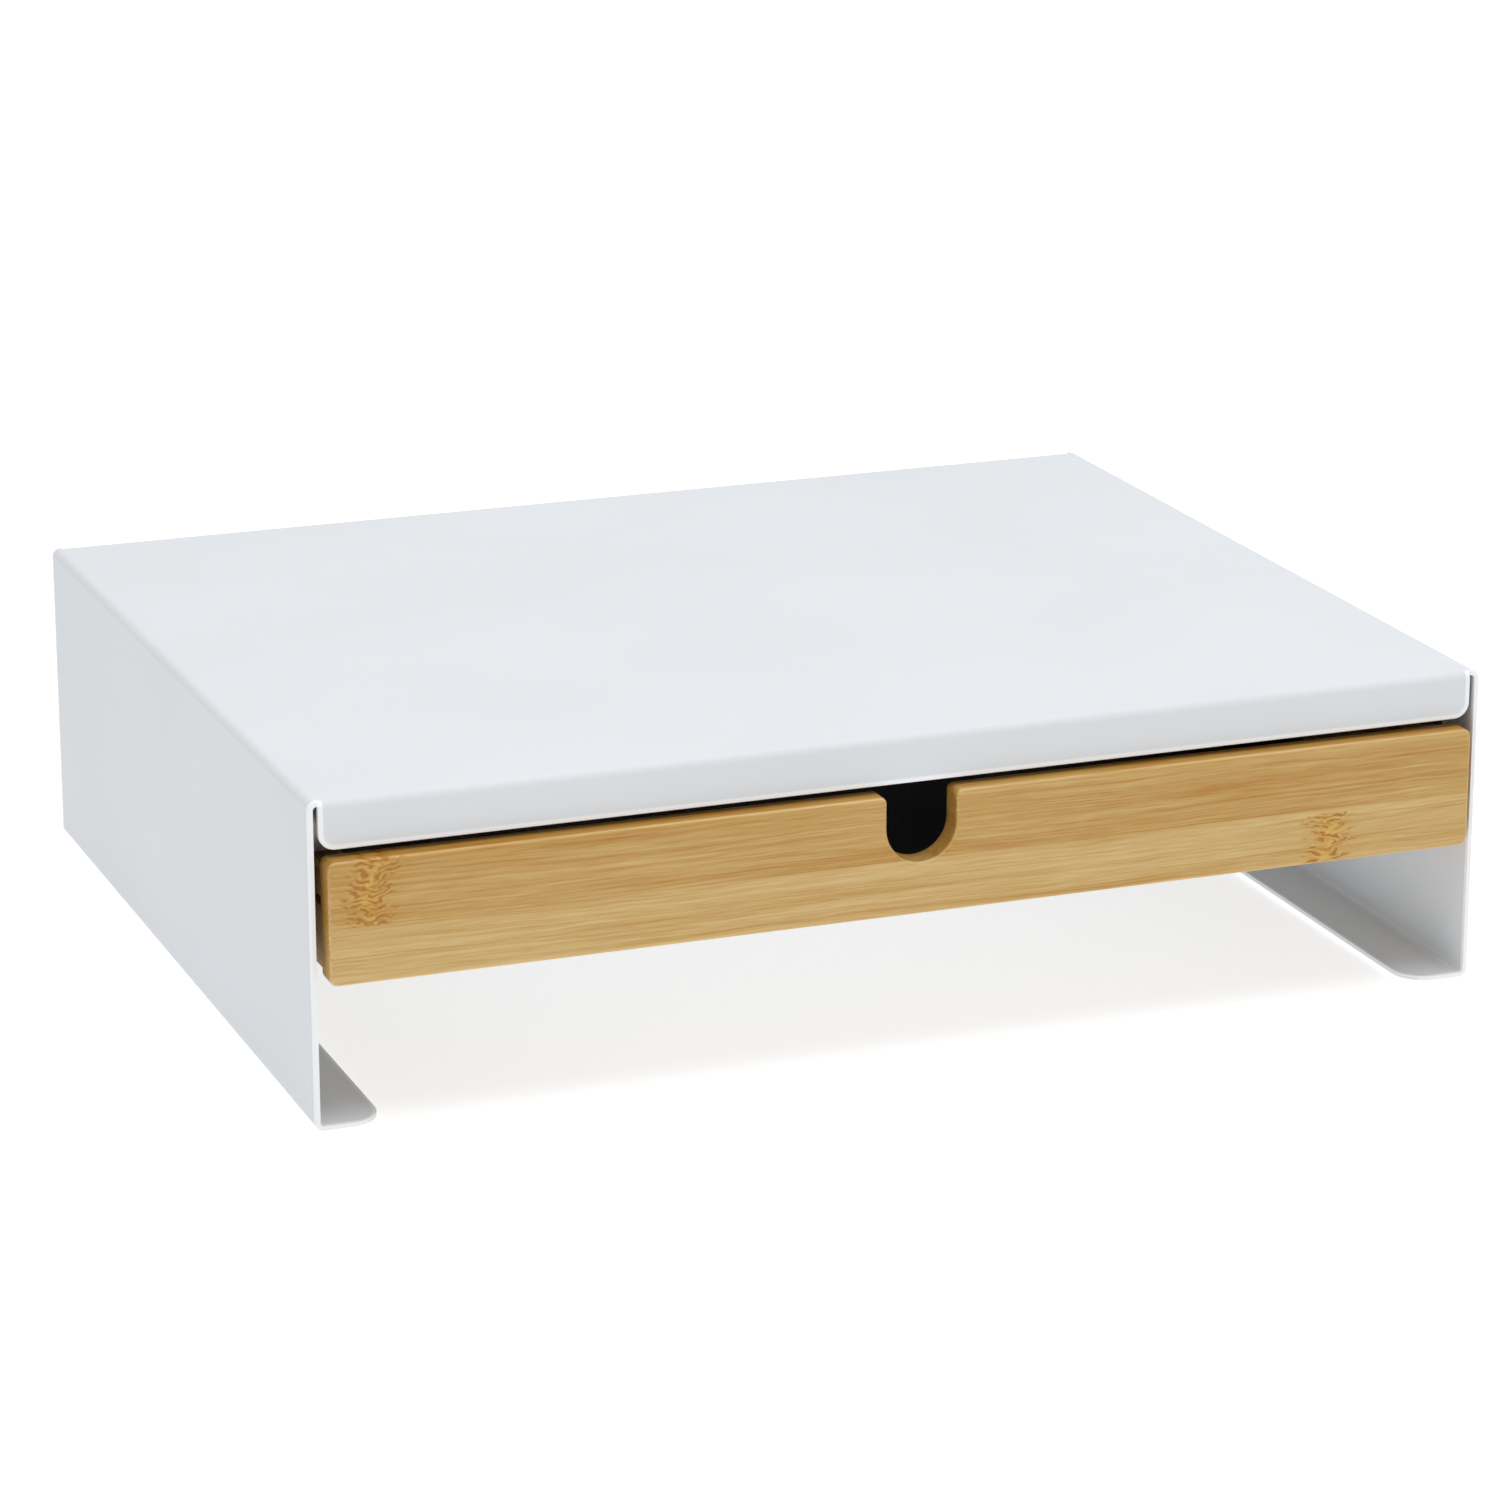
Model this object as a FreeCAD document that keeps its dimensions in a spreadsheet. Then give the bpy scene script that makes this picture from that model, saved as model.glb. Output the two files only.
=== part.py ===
# Monitor stand with drawer, in millimetres.
# +X is to the right as one faces the drawer, +Y to the back, +Z up.
# The origin is on the desk, in the middle of the space that the stand and the shut drawer take up.

import FreeCAD, Part
import math
import os
import Sketcher

Vector = FreeCAD.Vector

# Driving sizes
SIZES = {
    # Steel stand, bent from one sheet
    "stand_width": 375,
    "stand_depth": 300,
    "stand_height": 100,
    "sheet_thickness": 1.5,
    "fold_radius": 1.2,
    "lip_height": 15,
    "lip_corner": 5,
    "relief_width": 1.5,
    "flange_width": 21,
    "flange_corner": 10,
    "sheet_edge_round": 0.4,
    # Rubber feet
    "foot_diameter": 12,
    "foot_height": 1.5,
    "foot_round": 0.5,
    "foot_setback": 24,
    # Drawer front
    "front_height": 37.5,
    "front_thickness": 9,
    "front_reveal": 4.4,
    "front_top_gap": 2.4,
    "front_side_gap": 2.75,
    "front_corner": 2.5,
    "front_edge_round": 1.2,
    "finger_slot_width": 22.4,
    "finger_slot_depth": 21.2,
    "finger_slot_corner": 2,
    # Drawer box
    "side_inset": 1,
    "side_thickness": 10,
    "side_height": 31,
    "side_rise": 2.5,
    "side_length": 262,
    "side_edge_round": 0.8,
    "back_thickness": 10,
    "bottom_thickness": 3,
    "bottom_rise": 4,
    "bottom_groove_depth": 4,
    "bottom_groove_play": 0.2,
    "bottom_edge_play": 0.5,
    # Runner groove in the drawer sides
    "runner_groove_rise": 18.5,
    "runner_groove_depth": 5.5,
    "blade_tip_play": 0.8,
    "blade_under_play": 0.4,
    "glide_play": 0.3,
    # Runners
    "runner_thickness": 1.5,
    "runner_bend": 1,
    "runner_height": 28,
    "runner_setback": 14,
    "stop_tab_rise": 2,
    "stop_tab_tip_gap": 1,
    "rear_tab_height": 10,
    "rear_tab_rise": 1.2,
    "glide_width": 5,
    "glide_thickness": 0.8,
    "glide_end_gap": 6,
    "glide_tip_gap": 0.3,
    "glide_corner": 1,
    # Stops
    "stop_gap": 0.3,
    "bumper_gap": 0.3,
    "bumper_diameter": 7,
    "bumper_thickness": 2.5,
    "bumper_round": 0.8,
    "block_length": 14,
    "block_height": 9,
    "block_inset": 3.5,
    "block_setback": 36.8,
    "block_edge_round": 0.6,
    # Fasteners
    "hole_play": 0.05,
    "stud_diameter": 3,
    "stud_length": 5.6,
    "stud_drop": 5.4,
    "stud_end_distance": 33,
    "stud_count": 3,
    "washer_diameter": 7,
    "washer_thickness": 0.5,
    "nut_width": 5.5,
    "nut_thickness": 2.4,
    "dowel_diameter": 5,
    "dowel_in_front": 5.5,
    "dowel_in_side": 20,
    "dowel_end_play": 0.5,
    "dowel_chamfer": 0.6,
    "screw_diameter": 3,
    "screw_head_diameter": 6,
    "screw_point": 2.5,
    "back_screw_length": 30,
    "block_screw_length": 16,
    "small_screw_diameter": 2.5,
    "small_screw_head_diameter": 5,
    "small_screw_head_height": 1.4,
    "small_screw_length": 11,
    "pilot_end_play": 0.5,
    "bottom_screw_end_distance": 32,
    "bottom_screw_count": 3,
    "recess_width": 0.9,
    "recess_span": 3,
    "recess_depth": 1.1,
}

# Places that follow from the sizes
PLACES = {
    "stand_middle": "Sizes.front_reveal / 2",
    "stand_front": "stand_middle - Sizes.stand_depth / 2",
    "stand_half": "Sizes.stand_width / 2",
    "panel_inner": "stand_half - Sizes.sheet_thickness",
    "lip_half": "panel_inner - Sizes.relief_width",
    "outer_fold": "Sizes.fold_radius + Sizes.sheet_thickness",
    "lip_bottom": "Sizes.foot_height + Sizes.stand_height - Sizes.lip_height",
    "front_half": "panel_inner - Sizes.front_side_gap",
    "front_face": "stand_front - Sizes.front_reveal",
    "front_rear": "front_face + Sizes.front_thickness",
    "front_top": "lip_bottom - Sizes.front_top_gap",
    "front_bottom": "front_top - Sizes.front_height",
    "side_outer": "front_half - Sizes.side_inset",
    "side_inner": "side_outer - Sizes.side_thickness",
    "side_middle": "side_outer - Sizes.side_thickness / 2",
    "side_bottom": "front_bottom + Sizes.side_rise",
    "side_top": "side_bottom + Sizes.side_height",
    "side_rear": "front_rear + Sizes.side_length",
    "runner_groove_height": "Sizes.blade_under_play + Sizes.runner_thickness"
                            " + Sizes.glide_thickness + Sizes.glide_play",
    "runner_groove_top": "Sizes.runner_groove_rise + runner_groove_height",
    "bottom_groove_height": "Sizes.bottom_thickness + Sizes.bottom_groove_play",
    "bottom_groove_top": "Sizes.bottom_rise + bottom_groove_height",
    "low_pin": "(bottom_groove_top + Sizes.runner_groove_rise) / 2",
    "high_pin": "(runner_groove_top + Sizes.side_height) / 2",
    "back_middle": "Sizes.side_length - Sizes.back_thickness / 2",
    "back_bottom": "Sizes.bottom_rise + Sizes.bottom_thickness",
    "blade_bottom": "side_bottom + Sizes.runner_groove_rise + Sizes.blade_under_play",
    "blade_top": "blade_bottom + Sizes.runner_thickness",
    "blade_tip": "side_outer - Sizes.runner_groove_depth + Sizes.blade_tip_play",
    "runner_reach": "panel_inner - blade_tip",
    "runner_front": "stand_front + Sizes.runner_setback",
    "stop_face": "runner_front + Sizes.runner_thickness",
    "rear_tab_face": "side_rear + Sizes.bumper_gap + Sizes.bumper_thickness",
    "runner_length": "rear_tab_face + Sizes.runner_thickness - runner_front",
    "tab_reach": "panel_inner - side_inner - Sizes.stop_tab_tip_gap",
    "tab_bend": "Sizes.runner_bend + Sizes.runner_thickness",
    "stop_tab_bottom": "side_top + Sizes.stop_tab_rise - blade_bottom",
    "rear_tab_bottom": "Sizes.runner_thickness + Sizes.runner_bend + Sizes.rear_tab_rise",
    "block_front": "side_rear - Sizes.block_setback - Sizes.block_length",
    "drawer_travel": "block_front - Sizes.stop_gap - stop_face",
    "block_width": "Sizes.side_thickness - Sizes.block_inset",
    "block_middle": "side_outer - Sizes.block_inset - block_width / 2",
    "stud_height": "blade_bottom + Sizes.runner_height - Sizes.stud_drop",
    "stud_start": "runner_front + Sizes.stud_end_distance",
    "stud_pitch": "(runner_length - Sizes.stud_end_distance * 2) / (Sizes.stud_count - 1)",
    "washer_face": "panel_inner - Sizes.runner_thickness",
    "nut_face": "washer_face - Sizes.washer_thickness",
    "screw_head_height": "(Sizes.screw_head_diameter - Sizes.screw_diameter) / 2",
    "bottom_screw_reach": "side_inner - Sizes.bottom_screw_end_distance",
    "bottom_screw_pitch": "bottom_screw_reach * 2 / (Sizes.bottom_screw_count - 1)",
    "foot_inset": "stand_half - Sizes.flange_width / 2",
}

STUD_HOLE = "Sizes.stud_diameter + Sizes.hole_play * 2"
DOWEL_HOLE = "Sizes.dowel_diameter + Sizes.hole_play * 2"
SCREW_HOLE = "Sizes.screw_diameter + Sizes.hole_play * 2"
SMALL_SCREW_HOLE = "Sizes.small_screw_diameter + Sizes.hole_play * 2"

PLANE_SIGN = {"XY_Plane": 1, "XZ_Plane": -1, "YZ_Plane": 1}
Y_AXIS = Vector(0, 1, 0)
Z_AXIS = Vector(0, 0, 1)
SQUARE_CONE = 90
FULL_TURN = 360
SAME_PLACE = 1e-4
SAME_HEADING = 0.999
LEAST_CUT = 0.1


def fill_sheet(name, cells):
    sheet = doc.addObject("Spreadsheet::Sheet", name)
    for row, (alias, content) in enumerate(cells.items(), 1):
        sheet.set(f"A{row}", alias)
        sheet.set(f"B{row}", str(content))
        sheet.setAlias(f"B{row}", alias)
    return sheet


doc = FreeCAD.newDocument("MonitorStand")
sizes = fill_sheet("Sizes", SIZES)
places = fill_sheet("Places", {name: f"={formula}" for name, formula in PLACES.items()})
doc.recompute()


def amount(formula):
    return float(sizes.evalExpression(formula))


# Sketch helpers

def origin_item(body, role):
    return next(item for item in body.Origin.OriginFeatures if item.Role == role)


def sketch_on(body, name, plane, offset="0"):
    """A sketch on one of the body's own planes, moved along the part's axis by the offset."""
    sketch = body.newObject("Sketcher::SketchObject", name)
    sketch.AttachmentSupport = [(origin_item(body, plane), "")]
    sketch.MapMode = "FlatFace"
    sketch.setExpression("AttachmentOffset.Base.z", f"{PLANE_SIGN[plane]} * ({offset})")
    return sketch


def bind(sketch, kind, formula, *where):
    index = sketch.addConstraint(Sketcher.Constraint(kind, *where, amount(formula)))
    sketch.setExpression(f"Constraints[{index}]", formula)


def circle(sketch, across, up, diameter):
    middle = Vector(amount(across), amount(up), 0)
    ring = sketch.addGeometry(Part.Circle(middle, Z_AXIS, amount(diameter) / 2))
    bind(sketch, "DistanceX", across, -1, 1, ring, 3)
    bind(sketch, "DistanceY", up, -1, 1, ring, 3)
    bind(sketch, "Diameter", diameter, ring)


def polygon(sketch, corners):
    """A closed straight-sided outline through the corners, each given as (across, up)."""
    spots = [Vector(amount(across), amount(up), 0) for across, up in corners]
    for here, (across, up) in enumerate(corners):
        line = sketch.addGeometry(Part.LineSegment(spots[here], spots[(here + 1) % len(spots)]))
        bind(sketch, "DistanceX", across, -1, 1, line, 1)
        bind(sketch, "DistanceY", up, -1, 1, line, 1)
    for line in range(len(spots)):
        following = (line + 1) % len(spots)
        sketch.addConstraint(Sketcher.Constraint("Coincident", line, 2, following, 1))


def outline(sketch, corners):
    """A closed outline of upright and level lines; a corner is (across, up) or (across, up, radius)."""
    count = len(corners)
    spots = [Vector(amount(corner[0]), amount(corner[1]), 0) for corner in corners]
    radii = [corner[2] if len(corner) > 2 else None for corner in corners]
    along = [(spots[(i + 1) % count] - spots[i]).normalize() for i in range(count)]
    trims = [amount(radius) if radius else 0 for radius in radii]
    lines = []
    for i in range(count):
        following = (i + 1) % count
        start = spots[i] + along[i] * trims[i]
        end = spots[following] - along[i] * trims[following]
        line = sketch.addGeometry(Part.LineSegment(start, end))
        if corners[i][0] == corners[following][0]:
            sketch.addConstraint(Sketcher.Constraint("Vertical", line))
            bind(sketch, "DistanceX", corners[i][0], -1, 1, line, 1)
        else:
            sketch.addConstraint(Sketcher.Constraint("Horizontal", line))
            bind(sketch, "DistanceY", corners[i][1], -1, 1, line, 1)
        lines.append(line)
    for i in range(count):
        if radii[i]:
            round_corner(sketch, lines[i - 1], lines[i], spots[i], along[i - 1], along[i], radii[i])
        else:
            sketch.addConstraint(Sketcher.Constraint("Coincident", lines[i - 1], 2, lines[i], 1))


def round_corner(sketch, arriving, leaving, spot, heading_in, heading_out, radius):
    """An arc between two lines that meet square at the spot."""
    size = amount(radius)
    middle = spot - heading_in * size + heading_out * size
    turns_left = heading_in.cross(heading_out).z > 0
    starts = heading_out * -size if turns_left else heading_in * size
    angle = math.atan2(starts.y, starts.x)
    ring = Part.Circle(middle, Z_AXIS, size)
    arc = sketch.addGeometry(Part.ArcOfCircle(ring, angle, angle + math.pi / 2))
    first, last = (1, 2) if turns_left else (2, 1)
    sketch.addConstraint(Sketcher.Constraint("Tangent", arriving, 2, arc, first))
    sketch.addConstraint(Sketcher.Constraint("Tangent", arc, last, leaving, 1))
    bind(sketch, "Radius", radius, arc)


# Feature helpers

def new_body(label, across="0", back="0", up="0"):
    body = doc.addObject("PartDesign::Body", label)
    place(body, across, back, up)
    return body


def place(item, across="0", back="0", up="0"):
    item.setExpression("Placement.Base.x", across)
    item.setExpression("Placement.Base.y", back)
    item.setExpression("Placement.Base.z", up)


def pad(body, name, sketch, length, toward=1):
    """Adds the sketch's area over a length, along the part's axis or against it."""
    feature = body.newObject("PartDesign::Pad", name)
    feature.Profile = sketch
    feature.setExpression("Length", length)
    feature.Reversed = toward * facing(sketch) < 0
    doc.recompute()
    return feature


def centred_pad(body, name, sketch, length):
    feature = pad(body, name, sketch, length)
    feature.SideType = "Symmetric"
    doc.recompute()
    return feature


def pocket(body, name, sketch, depth, toward=1):
    """Cuts the sketch's area over a depth, along the part's axis or against it."""
    feature = body.newObject("PartDesign::Pocket", name)
    feature.Profile = sketch
    feature.setExpression("Length", depth)
    feature.Reversed = toward * facing(sketch) > 0
    doc.recompute()
    return feature


def facing(sketch):
    plane = sketch.AttachmentSupport[0][0]
    return PLANE_SIGN[plane.Role]


def edges_where(shape, chosen):
    """Names of the edges that pass the test, which gets each edge and its middle point."""
    names = []
    for number, edge in enumerate(shape.Edges, 1):
        middle = edge.valueAt((edge.FirstParameter + edge.LastParameter) / 2)
        if chosen(edge, middle):
            names.append(f"Edge{number}")
    return names


def runs_along(edge, axis):
    """True for a straight edge parallel to the axis."""
    if edge.Curve.TypeId != "Part::GeomLine":
        return False
    heading = edge.Vertexes[-1].Point - edge.Vertexes[0].Point
    return abs(heading.normalize().dot(axis)) > SAME_HEADING


def fillet(body, name, radius, chosen):
    base = body.Tip
    feature = body.newObject("PartDesign::Fillet", name)
    feature.Base = (base, edges_where(base.Shape, chosen))
    feature.setExpression("Radius", radius)
    doc.recompute()


def chamfer(body, name, size, chosen):
    base = body.Tip
    feature = body.newObject("PartDesign::Chamfer", name)
    feature.Base = (base, edges_where(base.Shape, chosen))
    feature.setExpression("Size", size)
    doc.recompute()


def mirror_image(source, label):
    """The left-hand twin of a right-hand piece."""
    twin = doc.addObject("Part::Mirroring", label)
    twin.Source = source
    twin.Normal = Vector(1, 0, 0)
    return twin


def near(first, second):
    return abs(first - second) < SAME_PLACE


def flat_in(edge, axis, level):
    """True where the whole edge lies in the plane square to the axis at the level."""
    box = edge.BoundBox
    low = {"x": box.XMin, "y": box.YMin, "z": box.ZMin}[axis]
    high = {"x": box.XMax, "y": box.YMax, "z": box.ZMax}[axis]
    return near(low, level) and near(high, level)


def repeat(body, name, originals, along=None, spacing=None, count=None, both_sides=False):
    """Repeats features in a row along an axis, then on both sides of the middle plane."""
    group = body.newObject("PartDesign::MultiTransform", name)
    steps = []
    if along:
        row = body.newObject("PartDesign::LinearPattern", f"{name}_row")
        row.Direction = (origin_item(body, along), [""])
        row.Mode = "Spacing"
        row.setExpression("Offset", spacing)
        row.setExpression("Occurrences", count)
        steps.append(row)
    if both_sides:
        pair = body.newObject("PartDesign::Mirrored", f"{name}_pair")
        pair.MirrorPlane = (origin_item(body, "YZ_Plane"), [""])
        steps.append(pair)
    group.Originals = originals
    group.Transformations = steps
    body.Tip = group
    doc.recompute()
    return group


def turned(body, name, sketch, axis):
    """Turns the sketch's area once round one of its own axes."""
    feature = body.newObject("PartDesign::Revolution", name)
    feature.Profile = sketch
    feature.ReferenceAxis = (sketch, [axis])
    feature.Angle = FULL_TURN
    doc.recompute()
    return feature


# Steel stand

def steel_stand():
    """Top, side panels, foot flanges and front and rear lips, all one bent sheet."""
    body = new_body("steel_stand", back="Places.stand_middle", up="Sizes.foot_height")
    section = sketch_on(body, "stand_section", "XZ_Plane")
    outline(section, [
        ("Sizes.flange_width - Places.stand_half", "0"),
        ("-Places.stand_half", "0", "Places.outer_fold"),
        ("-Places.stand_half", "Sizes.stand_height", "Places.outer_fold"),
        ("Places.stand_half", "Sizes.stand_height", "Places.outer_fold"),
        ("Places.stand_half", "0", "Places.outer_fold"),
        ("Places.stand_half - Sizes.flange_width", "0"),
        ("Places.stand_half - Sizes.flange_width", "Sizes.sheet_thickness"),
        ("Places.panel_inner", "Sizes.sheet_thickness", "Sizes.fold_radius"),
        ("Places.panel_inner", "Sizes.stand_height - Sizes.sheet_thickness", "Sizes.fold_radius"),
        ("-Places.panel_inner", "Sizes.stand_height - Sizes.sheet_thickness", "Sizes.fold_radius"),
        ("-Places.panel_inner", "Sizes.sheet_thickness", "Sizes.fold_radius"),
        ("Sizes.flange_width - Places.stand_half", "Sizes.sheet_thickness"),
    ])
    centred_pad(body, "stand_wrap", section, "Sizes.stand_depth")

    front = "-Sizes.stand_depth / 2"
    strip = sketch_on(body, "fold_strip", "XY_Plane", "Sizes.stand_height")
    outline(strip, [
        ("-Places.lip_half", front),
        ("Places.lip_half", front),
        ("Places.lip_half", f"{front} + Places.outer_fold"),
        ("-Places.lip_half", f"{front} + Places.outer_fold"),
    ])
    strip_cut = pocket(body, "fold_strip_cut", strip, "Sizes.sheet_thickness", toward=-1)

    lip = sketch_on(body, "lip_section", "YZ_Plane")
    outline(lip, [
        (front, "Sizes.stand_height - Sizes.lip_height"),
        (front, "Sizes.stand_height", "Places.outer_fold"),
        (f"{front} + Places.outer_fold * 2", "Sizes.stand_height"),
        (f"{front} + Places.outer_fold * 2", "Sizes.stand_height - Sizes.sheet_thickness"),
        (f"{front} + Sizes.sheet_thickness", "Sizes.stand_height - Sizes.sheet_thickness",
         "Sizes.fold_radius"),
        (f"{front} + Sizes.sheet_thickness", "Sizes.stand_height - Sizes.lip_height"),
    ])
    lip_fold = centred_pad(body, "lip_fold", lip, "Places.lip_half * 2")

    rear_lip = body.newObject("PartDesign::Mirrored", "rear_lip")
    rear_lip.Originals = [strip_cut, lip_fold]
    rear_lip.MirrorPlane = (origin_item(body, "XZ_Plane"), [""])
    body.Tip = rear_lip
    doc.recompute()

    lip_half = amount("Places.lip_half")
    lip_low = amount("Sizes.stand_height - Sizes.lip_height")
    fillet(body, "lip_corners", "Sizes.lip_corner", lambda edge, middle: (
        runs_along(edge, Y_AXIS) and near(abs(middle.x), lip_half) and near(middle.z, lip_low)))

    flange_edge = amount("Places.stand_half - Sizes.flange_width")
    sheet_end = amount("Sizes.stand_depth / 2")
    fillet(body, "flange_corners", "Sizes.flange_corner", lambda edge, middle: (
        runs_along(edge, Z_AXIS) and near(abs(middle.x), flange_edge) and near(abs(middle.y), sheet_end)))

    panel_outer = amount("Places.stand_half")
    fillet(body, "sheet_edges", "Sizes.sheet_edge_round", lambda edge, middle: (
        (flat_in(edge, "y", sheet_end) or flat_in(edge, "y", -sheet_end))
        and (near(abs(middle.x), panel_outer) or flat_in(edge, "z", lip_low))))
    return body


def feet():
    """Four round rubber feet stuck under the flanges."""
    ends = {"front": "-1", "rear": "1"}
    hands = {"left": "-1", "right": "1"}
    pieces = []
    for end, back_sign in ends.items():
        for hand, side_sign in hands.items():
            label = f"{end}_{hand}_foot"
            body = new_body(
                label,
                across=f"{side_sign} * Places.foot_inset",
                back=f"Places.stand_middle + {back_sign} * (Sizes.stand_depth / 2 - Sizes.foot_setback)")
            disc = sketch_on(body, f"{label}_disc", "XY_Plane")
            circle(disc, "0", "0", "Sizes.foot_diameter")
            pad(body, f"{label}_pad", disc, "Sizes.foot_height")
            fillet(body, f"{label}_round", "Sizes.foot_round", lambda edge, middle: flat_in(edge, "z", 0))
            pieces.append(body)
    return pieces


# Runners and what holds them

def right_runner():
    """Bent angle: blade below, upright leg on the side panel, a stop tab at each end."""
    body = new_body("right_runner", "Places.panel_inner", "Places.runner_front", "Places.blade_bottom")
    section = sketch_on(body, "runner_section", "XZ_Plane", "Places.tab_bend")
    outline(section, [
        ("0", "0", "Places.tab_bend"),
        ("0", "Sizes.runner_height"),
        ("-Sizes.runner_thickness", "Sizes.runner_height"),
        ("-Sizes.runner_thickness", "Sizes.runner_thickness", "Sizes.runner_bend"),
        ("-Places.runner_reach", "Sizes.runner_thickness"),
        ("-Places.runner_reach", "0"),
    ])
    pad(body, "runner_angle", section, "Places.runner_length - Places.tab_bend * 2")

    stop = sketch_on(body, "stop_tab_plan", "XY_Plane", "Places.stop_tab_bottom")
    outline(stop, [
        ("0", "Places.tab_bend * 2"),
        ("0", "0", "Places.tab_bend"),
        ("-Places.tab_reach", "0"),
        ("-Places.tab_reach", "Sizes.runner_thickness"),
        ("-Sizes.runner_thickness", "Sizes.runner_thickness", "Sizes.runner_bend"),
        ("-Sizes.runner_thickness", "Places.tab_bend * 2"),
    ])
    pad(body, "stop_tab", stop, "Sizes.runner_height - Places.stop_tab_bottom")

    rear = sketch_on(body, "rear_tab_plan", "XY_Plane", "Places.rear_tab_bottom")
    outline(rear, [
        ("0", "Places.runner_length - Places.tab_bend * 2"),
        ("0", "Places.runner_length", "Places.tab_bend"),
        ("-Places.tab_reach", "Places.runner_length"),
        ("-Places.tab_reach", "Places.runner_length - Sizes.runner_thickness"),
        ("-Sizes.runner_thickness", "Places.runner_length - Sizes.runner_thickness", "Sizes.runner_bend"),
        ("-Sizes.runner_thickness", "Places.runner_length - Places.tab_bend * 2"),
    ])
    pad(body, "rear_tab", rear, "Sizes.rear_tab_height")

    hole = sketch_on(body, "stud_hole_ring", "YZ_Plane")
    circle(hole, "Sizes.stud_end_distance", "Sizes.runner_height - Sizes.stud_drop", STUD_HOLE)
    cut = pocket(body, "stud_hole", hole, "Sizes.runner_thickness", toward=-1)
    repeat(body, "stud_holes", [cut], "Y_Axis", "Places.stud_pitch", "Sizes.stud_count")
    return body


def right_glide_strip():
    """Plastic strip stuck on the blade, which the drawer side slides on."""
    body = new_body("right_glide_strip", "Places.blade_tip + Sizes.glide_tip_gap",
                    "Places.runner_front + Places.tab_bend + Sizes.glide_end_gap", "Places.blade_top")
    plan = sketch_on(body, "glide_plan", "XY_Plane")
    length = "Places.runner_length - (Places.tab_bend + Sizes.glide_end_gap) * 2"
    outline(plan, [
        ("0", "0", "Sizes.glide_corner"),
        ("Sizes.glide_width", "0", "Sizes.glide_corner"),
        ("Sizes.glide_width", length, "Sizes.glide_corner"),
        ("0", length, "Sizes.glide_corner"),
    ])
    pad(body, "glide_strip", plan, "Sizes.glide_thickness")
    return body


def on_both_panels(label, face, thickness, draw):
    """Repeats a small piece at every stud on both side panels; it stands inward from the face."""
    body = new_body(label, back="Places.stud_start", up="Places.stud_height")
    sketch = sketch_on(body, f"{label}_plan", "YZ_Plane", face)
    draw(sketch)
    first = pad(body, f"{label}_first", sketch, thickness, toward=-1)
    repeat(body, f"{label}_all", [first], "Y_Axis", "Places.stud_pitch", "Sizes.stud_count", both_sides=True)
    return body


def runner_studs():
    """Plain studs welded to the side panels."""
    def draw(sketch):
        circle(sketch, "0", "0", "Sizes.stud_diameter")
    return on_both_panels("runner_studs", "Places.panel_inner", "Sizes.stud_length", draw)


def runner_washers():
    def draw(sketch):
        circle(sketch, "0", "0", "Sizes.washer_diameter")
        circle(sketch, "0", "0", STUD_HOLE)
    return on_both_panels("runner_washers", "Places.washer_face", "Sizes.washer_thickness", draw)


def runner_nuts():
    """Six-sided nuts, two flats level."""
    def draw(sketch):
        corner = "Sizes.nut_width / sqrt(3)"
        polygon(sketch, [
            (corner, "0"),
            (f"{corner} / 2", "Sizes.nut_width / 2"),
            (f"-{corner} / 2", "Sizes.nut_width / 2"),
            (f"-{corner}", "0"),
            (f"-{corner} / 2", "-Sizes.nut_width / 2"),
            (f"{corner} / 2", "-Sizes.nut_width / 2"),
        ])
        circle(sketch, "0", "0", STUD_HOLE)
    return on_both_panels("runner_nuts", "Places.nut_face", "Sizes.nut_thickness", draw)


def right_bumper():
    """Rubber button on the rear tab; the shut drawer side rests against it."""
    body = new_body("right_bumper", "Places.side_middle", "Places.rear_tab_face",
                    "Places.side_bottom + Places.high_pin")
    disc = sketch_on(body, "bumper_disc", "XZ_Plane")
    circle(disc, "0", "0", "Sizes.bumper_diameter")
    pad(body, "bumper_pad", disc, "Sizes.bumper_thickness", toward=-1)
    face = -amount("Sizes.bumper_thickness")
    fillet(body, "bumper_face_round", "Sizes.bumper_round", lambda edge, middle: flat_in(edge, "y", face))
    return body


# Drawer

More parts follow.
